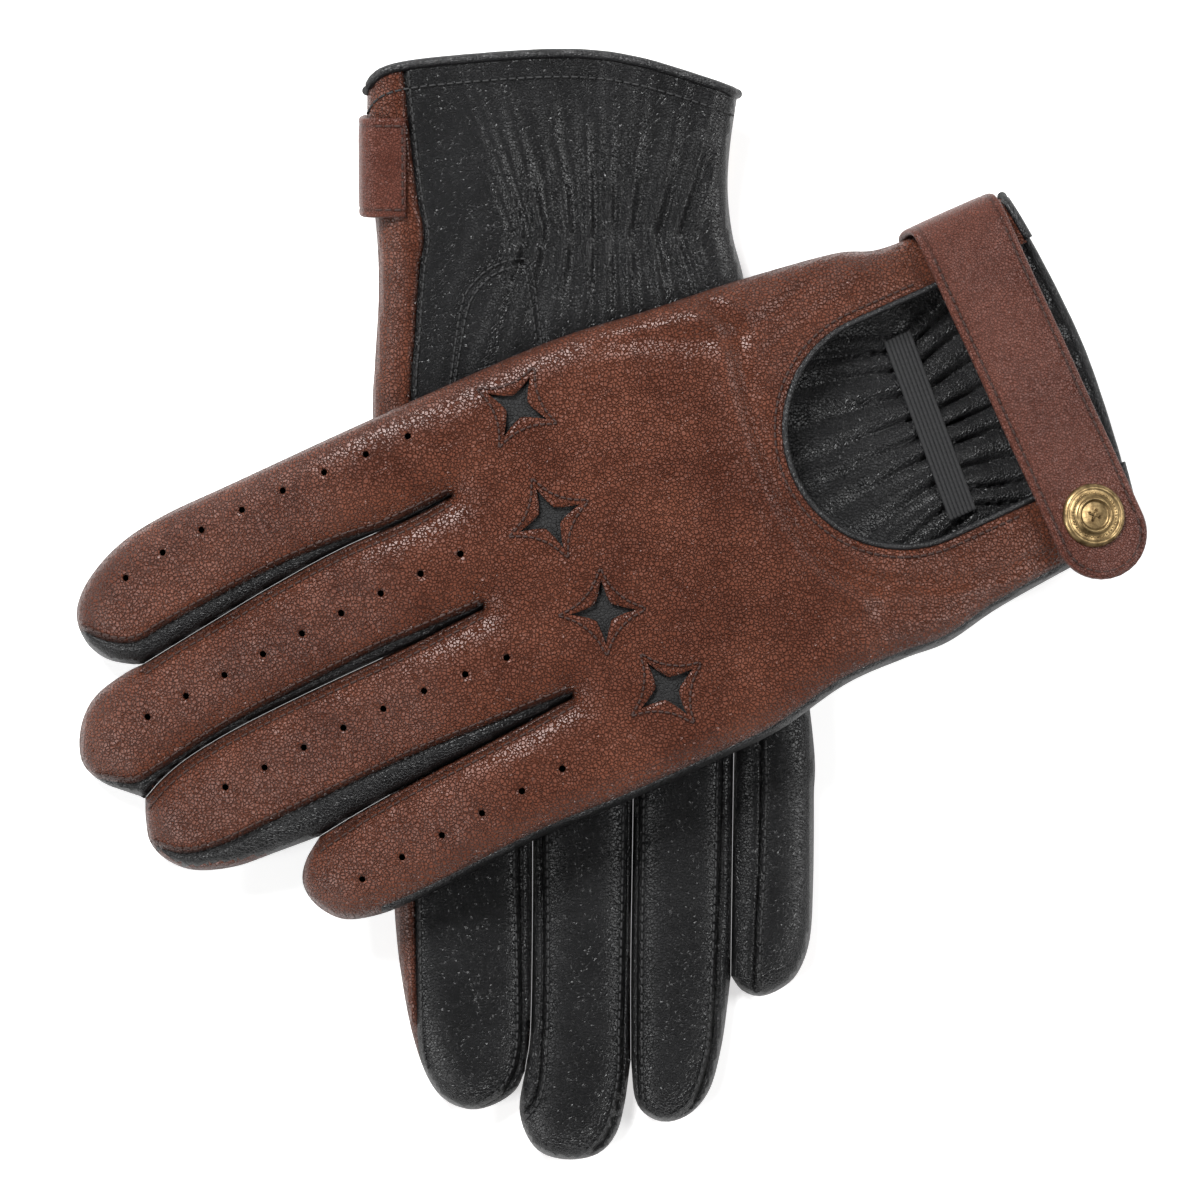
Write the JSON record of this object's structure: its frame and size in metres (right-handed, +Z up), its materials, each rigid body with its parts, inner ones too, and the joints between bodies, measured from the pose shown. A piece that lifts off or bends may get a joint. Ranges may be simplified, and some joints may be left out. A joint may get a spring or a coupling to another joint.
{
  "type": "pair of leather driving gloves",
  "caption": "Crossed pair of leather driving gloves with perforated fingers, star cut-outs on the back, an open wrist and a snap strap.",
  "frame": {"origin": "centre of the pair's box, on the surface that the pair lies on", "axes": "+Z up, +Y along the lower (right) glove from fingertips to cuff, +X to the right seen from above"},
  "size_m": [0.2459, 0.2499, 0.0293],
  "materials": {
    "chestnut_leather": "semi-matt grained",
    "black_leather": "semi-matt smooth",
    "elastic": "ribbed matt",
    "thread": "matt thread",
    "brass": "antique, worn"
  },
  "bodies": {
    "right_glove": {"right_back_panel": "chestnut_leather", "right_palm_panel": "black_leather", "right_thumb": "black_leather", "right_fourchette_index": "black_leather", "right_fourchette_middle_inner": "black_leather", "right_fourchette_middle_outer": "black_leather", "right_fourchette_ring_inner": "black_leather", "right_fourchette_ring_outer": "black_leather", "right_fourchette_little": "black_leather", "right_star_backing": "black_leather", "right_opening_piping": "black_leather", "right_cuff_binding": "black_leather", "right_palm_elastic": "elastic", "right_snap_reinforcement": "black_leather", "right_snap_stud": "brass", "right_snap_post": "brass", "right_strap_root": "chestnut_leather"},
    "right_strap": {"right_strap_outer": "chestnut_leather", "right_strap_lining": "chestnut_leather", "right_snap_cap": "brass", "right_snap_socket": "brass"},
    "left_glove": {"left_back_panel": "chestnut_leather", "left_palm_panel": "black_leather", "left_thumb": "black_leather", "left_fourchette_index": "black_leather", "left_fourchette_middle_inner": "black_leather", "left_fourchette_middle_outer": "black_leather", "left_fourchette_ring_inner": "black_leather", "left_fourchette_ring_outer": "black_leather", "left_fourchette_little": "black_leather", "left_star_backing": "black_leather", "left_opening_piping": "black_leather", "left_cuff_binding": "black_leather", "left_palm_elastic": "elastic", "left_snap_reinforcement": "black_leather", "left_snap_stud": "brass", "left_snap_post": "brass", "left_strap_root": "chestnut_leather"},
    "left_strap": {"left_strap_outer": "chestnut_leather", "left_strap_lining": "chestnut_leather", "left_snap_cap": "brass", "left_snap_socket": "brass"}
  },
  "joints": [
    {"name": "left_glove_lift", "type": "slide", "parent": "right_glove", "child": "left_glove", "axis": [0, 0, 1], "range_m": [0, 0.12]},
    {"name": "left_strap_fold", "type": "hinge", "parent": "left_glove", "child": "left_strap", "pos_m": [0.07952, 0.08863, 0.0188], "axis": [-0.8852, -0.4034, 0.2317], "range_deg": [0, 150]},
    {"name": "right_strap_fold", "type": "hinge", "parent": "right_glove", "child": "right_strap", "pos_m": [-0.0522, 0.10727, 0.00436], "axis": [0, 0.9912, 0.1323], "range_deg": [0, 150]}
  ]
}
